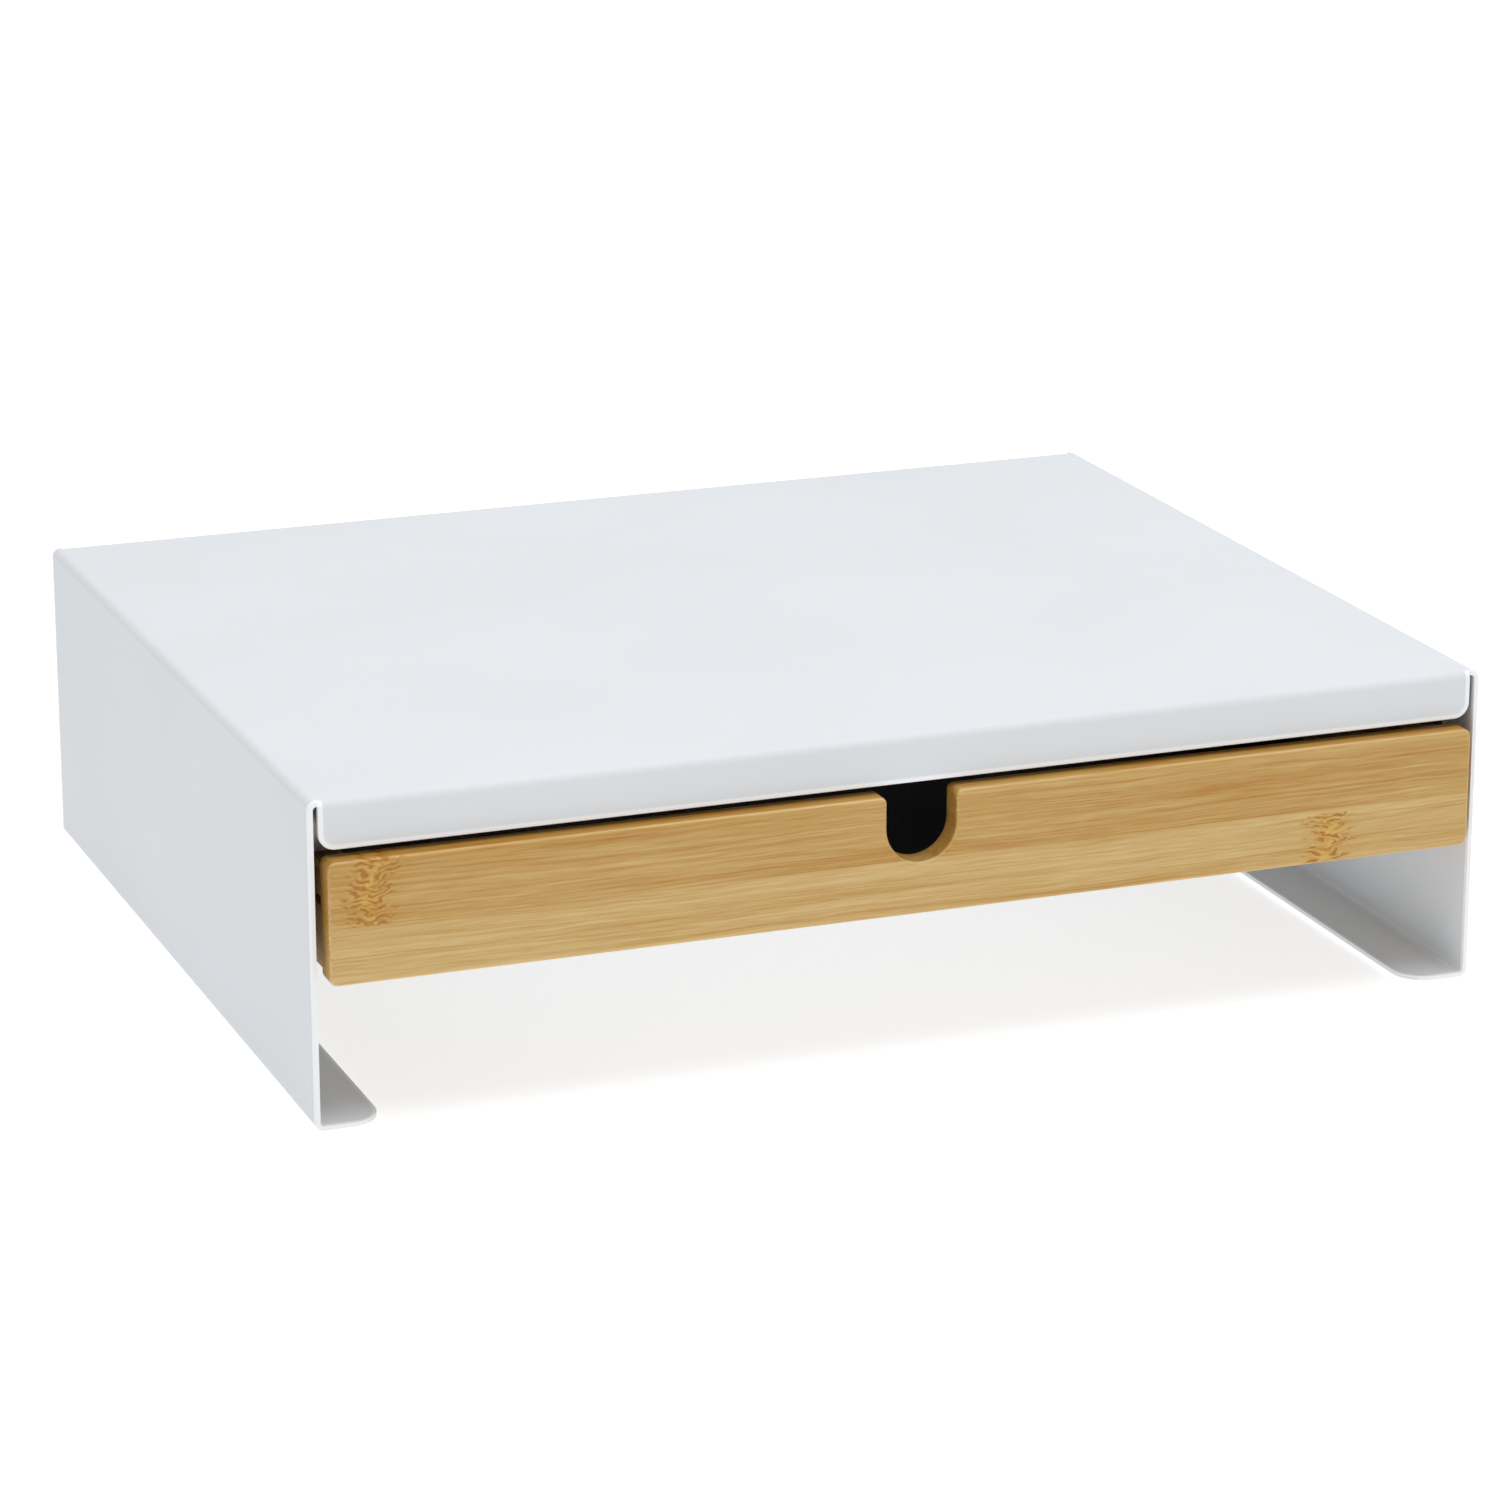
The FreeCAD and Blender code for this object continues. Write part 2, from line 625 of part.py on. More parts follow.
def drawer_front():
    """Bamboo board with a finger slot, a groove for the bottom and four dowel holes."""
    body = new_body("drawer_front", back="Places.front_face", up="Places.front_bottom")
    face = sketch_on(body, "front_outline", "XZ_Plane")
    outline(face, [
        ("-Places.front_half", "0", "Sizes.front_corner"),
        ("Places.front_half", "0", "Sizes.front_corner"),
        ("Places.front_half", "Sizes.front_height", "Sizes.front_corner"),
        ("-Places.front_half", "Sizes.front_height", "Sizes.front_corner"),
    ])
    pad(body, "front_board", face, "Sizes.front_thickness")

    slot = sketch_on(body, "finger_slot_outline", "XZ_Plane")
    finger_slot(slot)
    pocket(body, "finger_slot", slot, "Sizes.front_thickness")

    slot_edge = amount("Sizes.finger_slot_width / 2")
    board_top = amount("Sizes.front_height")
    fillet(body, "slot_corners", "Sizes.finger_slot_corner", lambda edge, middle: (
        runs_along(edge, Y_AXIS) and near(abs(middle.x), slot_edge) and near(middle.z, board_top)))
    rear = amount("Sizes.front_thickness")
    fillet(body, "front_edges", "Sizes.front_edge_round",
           lambda edge, middle: flat_in(edge, "y", 0) or flat_in(edge, "y", rear))

    groove = sketch_on(body, "front_groove_outline", "XZ_Plane", "Sizes.front_thickness")
    groove_half = "Places.side_inner + Sizes.bottom_groove_depth"
    groove_low = "Sizes.side_rise + Sizes.bottom_rise"
    outline(groove, [
        (f"-({groove_half})", groove_low),
        (groove_half, groove_low),
        (groove_half, "Sizes.side_rise + Places.bottom_groove_top"),
        (f"-({groove_half})", "Sizes.side_rise + Places.bottom_groove_top"),
    ])
    pocket(body, "front_groove", groove, "Sizes.bottom_groove_depth", toward=-1)

    holes = sketch_on(body, "front_dowel_rings", "XZ_Plane", "Sizes.front_thickness")
    dowel_rings(holes, "Sizes.side_rise", DOWEL_HOLE)
    pocket(body, "front_dowel_holes", holes, "Sizes.dowel_in_front + Sizes.dowel_end_play", toward=-1)
    return body


def finger_slot(sketch):
    """Upright sides down to a half-round bottom; the open top stands clear of the board."""
    half = "Sizes.finger_slot_width / 2"
    above = "Sizes.front_height + Sizes.finger_slot_corner"
    centre = "Sizes.front_height - Sizes.finger_slot_depth + Sizes.finger_slot_width / 2"
    reach, top, turn = amount(half), amount(above), amount(centre)
    left = sketch.addGeometry(Part.LineSegment(Vector(-reach, top, 0), Vector(-reach, turn, 0)))
    ring = Part.Circle(Vector(0, turn, 0), Z_AXIS, reach)
    arc = sketch.addGeometry(Part.ArcOfCircle(ring, math.pi, 2 * math.pi))
    right = sketch.addGeometry(Part.LineSegment(Vector(reach, turn, 0), Vector(reach, top, 0)))
    lid = sketch.addGeometry(Part.LineSegment(Vector(reach, top, 0), Vector(-reach, top, 0)))
    sketch.addConstraint(Sketcher.Constraint("Vertical", left))
    sketch.addConstraint(Sketcher.Constraint("Vertical", right))
    sketch.addConstraint(Sketcher.Constraint("Horizontal", lid))
    sketch.addConstraint(Sketcher.Constraint("Tangent", left, 2, arc, 1))
    sketch.addConstraint(Sketcher.Constraint("Tangent", arc, 2, right, 1))
    sketch.addConstraint(Sketcher.Constraint("Coincident", right, 2, lid, 1))
    sketch.addConstraint(Sketcher.Constraint("Coincident", lid, 2, left, 1))
    bind(sketch, "DistanceX", f"-{half}", -1, 1, left, 1)
    bind(sketch, "DistanceX", half, -1, 1, right, 1)
    bind(sketch, "DistanceY", above, -1, 1, lid, 1)
    bind(sketch, "DistanceY", centre, -1, 1, arc, 3)


def dowel_rings(sketch, rise, diameter):
    """Two circles in each drawer side's end, one below and one above the runner groove."""
    for sign in ("-1", "1"):
        for pin in ("Places.low_pin", "Places.high_pin"):
            circle(sketch, f"{sign} * Places.side_middle", f"{rise} + {pin}", diameter)


def right_side():
    """Drawer side with its runner groove outside and the bottom's groove inside."""
    body = new_body("drawer_right_side", "Places.side_outer", "Places.front_rear", "Places.side_bottom")
    section = sketch_on(body, "side_section", "XZ_Plane")
    inner = "-Sizes.side_thickness"
    groove_floor = "Sizes.bottom_groove_depth - Sizes.side_thickness"
    outline(section, [
        ("0", "0"),
        ("0", "Sizes.runner_groove_rise"),
        ("-Sizes.runner_groove_depth", "Sizes.runner_groove_rise"),
        ("-Sizes.runner_groove_depth", "Places.runner_groove_top"),
        ("0", "Places.runner_groove_top"),
        ("0", "Sizes.side_height", "Sizes.side_edge_round"),
        (inner, "Sizes.side_height", "Sizes.side_edge_round"),
        (inner, "Places.bottom_groove_top"),
        (groove_floor, "Places.bottom_groove_top"),
        (groove_floor, "Sizes.bottom_rise"),
        (inner, "Sizes.bottom_rise"),
        (inner, "0"),
    ])
    pad(body, "side_board", section, "Sizes.side_length")

    middle = "-Sizes.side_thickness / 2"
    dowels = sketch_on(body, "side_dowel_rings", "XZ_Plane")
    screws = sketch_on(body, "side_screw_rings", "YZ_Plane")
    for pin in ("Places.low_pin", "Places.high_pin"):
        circle(dowels, middle, pin, DOWEL_HOLE)
        circle(screws, "Places.back_middle", pin, SCREW_HOLE)
    pocket(body, "side_dowel_holes", dowels, "Sizes.dowel_in_side + Sizes.dowel_end_play")
    countersunk(body, "side_screw_holes", screws)

    pilot = sketch_on(body, "block_pilot_ring", "XY_Plane", "Sizes.side_height")
    circle(pilot, "-Sizes.block_inset - Places.block_width / 2",
           "Sizes.side_length - Sizes.block_setback - Sizes.block_length / 2", SMALL_SCREW_HOLE)
    pocket(body, "block_pilot", pilot,
           "Sizes.block_screw_length - Sizes.block_height + Sizes.pilot_end_play", toward=-1)
    return body


def countersunk(body, name, sketch):
    """Screw holes right through, each widened at the face for a flush head."""
    hole = body.newObject("PartDesign::Hole", name)
    hole.Profile = sketch
    doc.recompute()
    hole.ThreadType = "None"
    hole.DepthType = "ThroughAll"
    hole.setExpression("Diameter", SCREW_HOLE)
    hole.HoleCutType = "Countersink"
    hole.HoleCutCustomValues = True
    hole.setExpression("HoleCutDiameter", "Sizes.screw_head_diameter + Sizes.hole_play * 2")
    hole.HoleCutCountersinkAngle = SQUARE_CONE
    doc.recompute()
    return hole


def drawer_back():
    """Back board between the sides, standing on the drawer's bottom."""
    body = new_body("drawer_back", back="Places.side_rear - Sizes.back_thickness", up="Places.side_bottom")
    section = sketch_on(body, "back_section", "YZ_Plane")
    outline(section, [
        ("0", "Places.back_bottom"),
        ("Sizes.back_thickness", "Places.back_bottom"),
        ("Sizes.back_thickness", "Sizes.side_height", "Sizes.side_edge_round"),
        ("0", "Sizes.side_height", "Sizes.side_edge_round"),
    ])
    centred_pad(body, "back_board", section, "Places.side_inner * 2")

    middle = "Sizes.back_thickness / 2"
    ends = sketch_on(body, "back_end_rings", "YZ_Plane", "Places.side_inner")
    for pin in ("Places.low_pin", "Places.high_pin"):
        circle(ends, middle, pin, SCREW_HOLE)
    pilots = pocket(body, "back_end_pilots", ends,
                    "Sizes.back_screw_length - Sizes.side_thickness + Sizes.pilot_end_play", toward=-1)
    repeat(body, "back_pilots", [pilots], both_sides=True)

    under = sketch_on(body, "back_under_rings", "XY_Plane", "Places.back_bottom")
    bottom_screw_rings(under, middle)
    pocket(body, "back_under_pilots", under,
           "Sizes.small_screw_length - Sizes.bottom_thickness + Sizes.pilot_end_play")
    return body


def bottom_screw_rings(sketch, up):
    for place_number in range(int(amount("Sizes.bottom_screw_count"))):
        across = f"{place_number} * Places.bottom_screw_pitch - Places.bottom_screw_reach"
        circle(sketch, across, up, SMALL_SCREW_HOLE)


def drawer_bottom():
    """Thin board in the grooves of the sides and front, screwed up into the back."""
    body = new_body("drawer_bottom", back="Places.front_rear", up="Places.side_bottom + Sizes.bottom_rise")
    plan = sketch_on(body, "bottom_plan", "XY_Plane")
    half = "Places.side_inner + Sizes.bottom_groove_depth - Sizes.bottom_edge_play"
    front = "Sizes.bottom_edge_play - Sizes.bottom_groove_depth"
    outline(plan, [
        (f"-({half})", front),
        (half, front),
        (half, "Sizes.side_length"),
        (f"-({half})", "Sizes.side_length"),
    ])
    pad(body, "bottom_board", plan, "Sizes.bottom_thickness")
    holes = sketch_on(body, "bottom_screw_rings", "XY_Plane")
    bottom_screw_rings(holes, "Places.back_middle")
    pocket(body, "bottom_screw_holes", holes, "Sizes.bottom_thickness")
    return body


def front_dowels():
    """Four dowels across the joints between the front and the sides."""
    body = new_body("drawer_front_dowels", back="Places.front_rear", up="Places.side_bottom")
    rings = sketch_on(body, "dowel_rings", "XZ_Plane", "-Sizes.dowel_in_front")
    dowel_rings(rings, "0", "Sizes.dowel_diameter")
    pad(body, "dowels", rings, "Sizes.dowel_in_front + Sizes.dowel_in_side")
    near_end = -amount("Sizes.dowel_in_front")
    far_end = amount("Sizes.dowel_in_side")
    chamfer(body, "dowel_ends", "Sizes.dowel_chamfer",
            lambda edge, middle: flat_in(edge, "y", near_end) or flat_in(edge, "y", far_end))
    return body


def back_screws():
    """Countersunk screws through the sides into the back, with cross recesses."""
    body = new_body("drawer_back_screws", back="Places.front_rear + Places.back_middle",
                    up="Places.side_bottom + Places.low_pin")
    profile = sketch_on(body, "back_screw_profile", "XZ_Plane")
    radius = "Sizes.screw_diameter / 2"
    head = "Places.side_outer"
    polygon(profile, [
        (head, "0"),
        (head, "Sizes.screw_head_diameter / 2"),
        (f"{head} - Places.screw_head_height", radius),
        (f"{head} - Sizes.back_screw_length + Sizes.screw_point", radius),
        (f"{head} - Sizes.back_screw_length", "0"),
    ])
    shank = turned(body, "back_screw_shank", profile, "H_Axis")
    cross = sketch_on(body, "back_screw_cross", "YZ_Plane", head)
    cross_recess(cross)
    recess = pocket(body, "back_screw_recess", cross, "Sizes.recess_depth", toward=-1)
    repeat(body, "back_screws", [shank, recess], "Z_Axis", "Places.high_pin - Places.low_pin", "2",
           both_sides=True)
    return body


def cross_recess(sketch):
    near_side, far_side = "Sizes.recess_width / 2", "Sizes.recess_span / 2"
    outline(sketch, [
        (far_side, f"-{near_side}"),
        (far_side, near_side),
        (near_side, near_side),
        (near_side, far_side),
        (f"-{near_side}", far_side),
        (f"-{near_side}", near_side),
        (f"-{far_side}", near_side),
        (f"-{far_side}", f"-{near_side}"),
        (f"-{near_side}", f"-{near_side}"),
        (f"-{near_side}", f"-{far_side}"),
        (near_side, f"-{far_side}"),
        (near_side, f"-{near_side}"),
    ])


def small_screw(body, name, length, points):
    """A pan-headed screw on the body's upright axis, seated at height 0; it points up (1) or down (-1)."""
    profile = sketch_on(body, f"{name}_profile", "XZ_Plane")
    radius = "Sizes.small_screw_diameter / 2"
    head = "Sizes.small_screw_head_diameter / 2"
    head_top = f"{-points} * Sizes.small_screw_head_height"
    polygon(profile, [
        ("0", head_top),
        (head, head_top),
        (head, "0"),
        (radius, "0"),
        (radius, f"{points} * ({length} - Sizes.screw_point)"),
        ("0", f"{points} * {length}"),
    ])
    shank = turned(body, f"{name}_shank", profile, "V_Axis")
    cross = sketch_on(body, f"{name}_cross", "XY_Plane", head_top)
    cross_recess(cross)
    recess = pocket(body, f"{name}_recess", cross, "Sizes.recess_depth", toward=points)
    return [shank, recess]


def bottom_screws():
    """A row of small screws up through the bottom into the back."""
    body = new_body("drawer_bottom_screws",
                    "-Places.bottom_screw_reach",
                    "Places.front_rear + Places.back_middle",
                    "Places.side_bottom + Sizes.bottom_rise")
    first = small_screw(body, "bottom_screw", "Sizes.small_screw_length", 1)
    repeat(body, "bottom_screws", first, "X_Axis", "Places.bottom_screw_pitch", "Sizes.bottom_screw_count")
    return body


def right_stop_block():
    """Plastic block on the drawer side that meets the runner's stop tab when the drawer is open."""
    body = new_body("right_stop_block", "Places.side_outer - Sizes.block_inset",
                    "Places.block_front", "Places.side_top")
    plan = sketch_on(body, "block_plan", "XY_Plane")
    outline(plan, [
        ("0", "0", "Sizes.block_edge_round"),
        ("0", "Sizes.block_length", "Sizes.block_edge_round"),
        ("-Places.block_width", "Sizes.block_length", "Sizes.block_edge_round"),
        ("-Places.block_width", "0", "Sizes.block_edge_round"),
    ])
    pad(body, "block", plan, "Sizes.block_height")
    top = amount("Sizes.block_height")
    fillet(body, "block_top_edges", "Sizes.block_edge_round", lambda edge, middle: flat_in(edge, "z", top))
    hole = sketch_on(body, "block_hole_ring", "XY_Plane", "Sizes.block_height")
    circle(hole, "-Places.block_width / 2", "Sizes.block_length / 2", SMALL_SCREW_HOLE)
    pocket(body, "block_hole", hole, "Sizes.block_height", toward=-1)
    return body


def right_block_screw():
    """Screw down through the stop block into the drawer side."""
    body = new_body("right_block_screw", "Places.block_middle",
                    "Places.block_front + Sizes.block_length / 2", "Places.side_top + Sizes.block_height")
    small_screw(body, "block_screw", "Sizes.block_screw_length", -1)
    return body


# The whole stand

def build_all():
    pieces = [steel_stand(), *feet()]
    pieces += [runner_studs(), runner_washers(), runner_nuts()]
    pieces += [drawer_front(), drawer_back(), drawer_bottom()]
    pieces += [front_dowels(), back_screws(), bottom_screws()]
    handed = [right_runner, right_glide_strip, right_bumper]
    handed += [right_side, right_stop_block, right_block_screw]
    for make in handed:
        right = make()
        pieces += [right, mirror_image(right, right.Label.replace("right", "left"))]
    doc.recompute()
    return pieces


def check(pieces):
    for item in doc.Objects:
        if "Invalid" in item.State or "Error" in item.State:
            raise RuntimeError(f"{item.Label} did not build: {item.State}")
        if item.isDerivedFrom("Sketcher::SketchObject") and not item.FullyConstrained:
            raise RuntimeError(f"{item.Label} is not fully constrained")
        cuts = ("PartDesign::Pocket", "PartDesign::Hole")
        if item.TypeId in cuts and item.Shape.Volume > item.BaseFeature.Shape.Volume - LEAST_CUT:
            raise RuntimeError(f"{item.Label} cuts nothing")
    for piece in pieces:
        if piece.Shape.isNull() or not piece.Shape.isValid():
            raise RuntimeError(f"{piece.Label} has no sound shape")


def write(pieces):
    os.makedirs("parts", exist_ok=True)
    for piece in pieces:
        piece.Shape.exportStep(f"parts/{piece.Label}.step")
        box = piece.Shape.BoundBox
        print(f"{piece.Label}: {len(piece.Shape.Solids)} solid(s), {piece.Shape.Volume:.0f} mm3,"
              f" {box.XLength:.2f} x {box.YLength:.2f} x {box.ZLength:.2f}")


pieces = build_all()
check(pieces)
write(pieces)
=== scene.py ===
# Finish and studio of a steel monitor stand with a bamboo drawer.
# The packed model gives every piece its shape and place, in metres. Patterns are laid out in millimetres.

import math

import bpy
from bpy.props import FloatProperty, FloatVectorProperty, PointerProperty
from bpy.types import Operator, Panel, PropertyGroup
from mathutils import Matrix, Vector


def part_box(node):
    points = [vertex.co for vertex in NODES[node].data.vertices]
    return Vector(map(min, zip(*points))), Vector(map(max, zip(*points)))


bl_info = {
    "name": "Monitor Stand with Drawer",
    "version": (1, 0, 0),
    "blender": (4, 5, 0),
    "location": "3D View > Sidebar > Stand",
    "description": "Gives a steel monitor stand with a bamboo drawer its finish and studio",
    "category": "Object",
}

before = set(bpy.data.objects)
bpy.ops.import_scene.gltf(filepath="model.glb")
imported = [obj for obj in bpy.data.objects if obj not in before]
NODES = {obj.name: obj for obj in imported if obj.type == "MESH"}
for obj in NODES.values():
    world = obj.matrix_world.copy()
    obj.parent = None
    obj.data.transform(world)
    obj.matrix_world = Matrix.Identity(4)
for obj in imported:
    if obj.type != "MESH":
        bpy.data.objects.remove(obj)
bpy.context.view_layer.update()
MILLIMETRE = 0.001
WHITE = (1, 1, 1, 1)

# The folded lips of the steel sheet, in millimetres
LIP_HEIGHT = 15.0
LIP_INSET = 3.0
LIP_CORNER = 5.0
LIP_THICKNESS = 1.5
# The last two set where the painted highlight along the lips' cut edge fades in.
LIP_HIGHLIGHT_NEAR = 1.1
LIP_HIGHLIGHT_FAR = 1.9

# Layers of the bamboo's grain: length along it and width across it in millimetres, detail, own start
GRAIN_LAYERS = {
    "bands": (210, 4.8, 1, 7.0),
    "streaks": (75, 0.8, 2, 31.0),
    "flecks": (9, 0.6, 1, 41.0),
    "fibres": (13, 0.34, 1, 57.0),
    "ridges": (230, 2.3, 1, 11.0),
    "patches": (70, 5.0, 1, 83.0),
}
LAYER_START = 300.0
STRIP_START = 517.0

# Height at which the strips of the drawer box meet, and what a lower ring leaves below such a joint
BOX_STRIP_JOINT = 66.0
STRIP_MARGIN = 1.5

# A growth ring on the bamboo, in millimetres; its lean and the strokes' droop are slopes
RING_LEAN = 0.12
RING_WANDER = 9.0
RING_REACH = 6.0
CHAIN_REACH = 1.9
STROKE_MIDDLE = 3.2
STROKE_REACH = 3.6
STROKE_SPACING = 2.0
STROKE_DROOP = 0.22
STROKE_SAG = 4.6

# The floor: greys that bounce light and that show the shadow, and its glow by distance; in metres
FLOOR_HALF_WIDTH = 6.0
BOUNCE_GREY = 0.6
SHADOW_GREY = 0.75
GLOW_NEAR = 0.3
GLOW_NEAR_STRENGTH = 0.59
GLOW_FAR = 1.5
GLOW_FAR_STRENGTH = 0.70
LAMP_TARGET_HEIGHT = 0.05


# Sizes and colours

class CoatSettings(PropertyGroup):
    """Powder coat on the bent steel."""
    colour: FloatVectorProperty(
        name="Coat Colour", description="White of the powder coat", subtype="COLOR",
        size=3, min=0, max=1, default=(0.76, 0.79, 0.82))
    # Painted highlight: the edge colour is laid as paler white along the cut edges, over the edge width.
    edge_highlight_colour: FloatVectorProperty(
        name="Edge Colour", description="Brighter white where the coat builds up on a cut edge",
        subtype="COLOR", size=3, min=0, max=1, default=(0.96, 0.975, 0.99))
    edge_width: FloatProperty(
        name="Edge Width", description="Width of the built-up coat along a cut edge", unit="LENGTH",
        min=0, default=0.0022)
    roughness: FloatProperty(
        name="Roughness", description="Matt look of the coat", min=0, max=1, default=0.55)
    gloss: FloatProperty(
        name="Gloss", description="Strength of the coat's reflections", min=0, max=1, default=0.3)
    peel_size: FloatProperty(
        name="Texture Size", description="Width of the coat's fine bumps", unit="LENGTH",
        min=0.0001, default=0.0008)
    peel_depth: FloatProperty(
        name="Texture Depth", description="Height of the coat's fine bumps", unit="LENGTH",
        min=0, default=0.000015)


class BambooSettings(PropertyGroup):
    """Laminated bamboo with a satin varnish."""
    pale: FloatVectorProperty(
        name="Pale Grain", description="Colour of the lightest grain", subtype="COLOR",
        size=3, min=0, max=1, default=(0.688, 0.494, 0.21))
    golden: FloatVectorProperty(
        name="Golden Grain", description="Colour of most of the wood", subtype="COLOR",
        size=3, min=0, max=1, default=(0.548, 0.331, 0.092))
    brown: FloatVectorProperty(
        name="Brown Fibres", description="Colour of the dark fibres", subtype="COLOR",
        size=3, min=0, max=1, default=(0.425, 0.178, 0.012))
    amber: FloatVectorProperty(
        name="Amber Strokes", description="Colour of the dark strokes in a growth ring", subtype="COLOR",
        size=3, min=0, max=1, default=(0.41, 0.155, 0.004))
    ring_tint: FloatVectorProperty(
        name="Ring Tint", description="Warm stain round a growth ring, laid over the wood",
        subtype="COLOR", size=3, min=0, max=1, default=(0.95, 0.83, 0.43))
    layer_thickness: FloatProperty(
        name="Layer Thickness", description="Thickness of one glued layer", unit="LENGTH",
        min=0.001, default=0.003)
    lower_strip: FloatProperty(
        name="Lower Strip", description="Height of the drawer front's lower strip", unit="LENGTH",
        min=0, default=0.0174)
    left_ring: FloatProperty(
        name="Left Ring", description="From the drawer front's left end to its growth ring",
        unit="LENGTH", min=0, default=0.013)
    right_ring: FloatProperty(
        name="Right Ring", description="From the drawer front's right end to its growth ring",
        unit="LENGTH", min=0, default=0.049)
    roughness: FloatProperty(
        name="Varnish Roughness", description="Satin look of the varnish", min=0, max=1, default=0.42)


class HardwareSettings(PropertyGroup):
    """Zinc-plated steel, black plastic and board, grey rubber."""
    zinc: FloatVectorProperty(
        name="Zinc", description="Colour of the plated steel", subtype="COLOR",
        size=3, min=0, max=1, default=(0.60, 0.61, 0.62))
    # Painted shade: the plastic is black so the gaps round the drawer look dark, standing in for shade
    # there.
    plastic: FloatVectorProperty(
        name="Plastic", description="Colour of the glide strips and stop blocks", subtype="COLOR",
        size=3, min=0, max=1, default=(0.018, 0.018, 0.02))
    # Painted shade: the board's black upper face stands in for the shade inside the drawer.
    board: FloatVectorProperty(
        name="Board Face", description="Colour of the drawer bottom's upper face", subtype="COLOR",
        size=3, min=0, max=1, default=(0.012, 0.012, 0.0125))
    board_speck: FloatVectorProperty(
        name="Board Specks", description="Colour of the specks on the drawer bottom's upper face",
        subtype="COLOR", size=3, min=0, max=1, default=(0.05, 0.05, 0.052))
    fibre: FloatVectorProperty(
        name="Board Underside", description="Colour of the drawer bottom's underside and edges",
        subtype="COLOR", size=3, min=0, max=1, default=(0.47, 0.475, 0.48))
    fibre_dark: FloatVectorProperty(
        name="Dark Fibres", description="Colour of the fibres in the drawer bottom's underside",
        subtype="COLOR", size=3, min=0, max=1, default=(0.36, 0.34, 0.31))
    fibre_warm: FloatVectorProperty(
        name="Warm Clouds", description="Colour of the faint clouds on the drawer bottom's underside",
        subtype="COLOR", size=3, min=0, max=1, default=(0.43, 0.415, 0.39))
    rubber: FloatVectorProperty(
        name="Rubber", description="Colour of the feet and bumpers", subtype="COLOR",
        size=3, min=0, max=1, default=(0.2, 0.2, 0.205))


class StudioSettings(PropertyGroup):
    """Floor, light and camera."""
    azimuth: FloatProperty(
        name="Camera Azimuth", description="Camera's turn round the stand; 0 looks straight at the drawer",
        subtype="ANGLE", unit="ROTATION", default=math.radians(-21.07))
    elevation: FloatProperty(
        name="Camera Elevation", description="Camera's angle above the floor",
        subtype="ANGLE", unit="ROTATION", default=math.radians(17.13))
    distance: FloatProperty(
        name="Camera Distance", description="From the camera to the aim point", unit="LENGTH",
        min=0.1, default=1.7065)
    aim: FloatVectorProperty(
        name="Aim Point", description="Point in the middle of the picture", subtype="TRANSLATION",
        unit="LENGTH", size=3, default=(0.0037, -0.0004, 0.0536))
    lens: FloatProperty(
        name="Focal Length", description="Camera's focal length in millimetres", min=10, default=126.64)
    sky: FloatProperty(
        name="Sky Light", description="Strength of the even white light from all round", min=0, default=0.45)
    overhead: FloatProperty(
        name="Overhead Lamp", description="Power of the soft lamp above the stand", unit="POWER",
        min=0, default=15.8)
    table: FloatProperty(
        name="Light Table", description="Strength of the light that the white floor gives off",
        min=0, default=0.62)


SETTINGS = {
    "stand_coat": CoatSettings,
    "stand_bamboo": BambooSettings,
    "stand_hardware": HardwareSettings,
    "stand_studio": StudioSettings,
}


# Node trees

class Tree:
    """A node tree, with short names for what the finishes and the studio need."""

    def __init__(self, owner):
        owner.use_nodes = True
        self.tree = owner.node_tree
        self.tree.nodes.clear()

    def feed(self, socket, value):
        if isinstance(value, bpy.types.NodeSocket):
            self.tree.links.new(value, socket)
        else:
            socket.default_value = value

    def node(self, kind, *inputs, **settings):
        """Adds a node with these settings and feeds its first sockets."""
        made = self.tree.nodes.new(kind)
        for key, value in settings.items():
            setattr(made, key, value)
        for socket, value in zip(made.inputs, inputs):
            self.feed(socket, value)
        return made

    def result(self, kind, *inputs, **settings):
        return self.node(kind, *inputs, **settings).outputs[0]

    def maths(self, operation, *values):
        return self.result("ShaderNodeMath", *values, operation=operation)

    def add(self, first, second):
        return self.maths("ADD", first, second)

    def take(self, first, second):
        return self.maths("SUBTRACT", first, second)

    def times(self, first, second):
        return self.maths("MULTIPLY", first, second)

    def remap(self, value, low, high, new_low=0.0, new_high=1.0, smooth=False):
        kind = "SMOOTHSTEP" if smooth else "LINEAR"
        return self.result("ShaderNodeMapRange", value, low, high, new_low, new_high,
                           interpolation_type=kind, clamp=True)


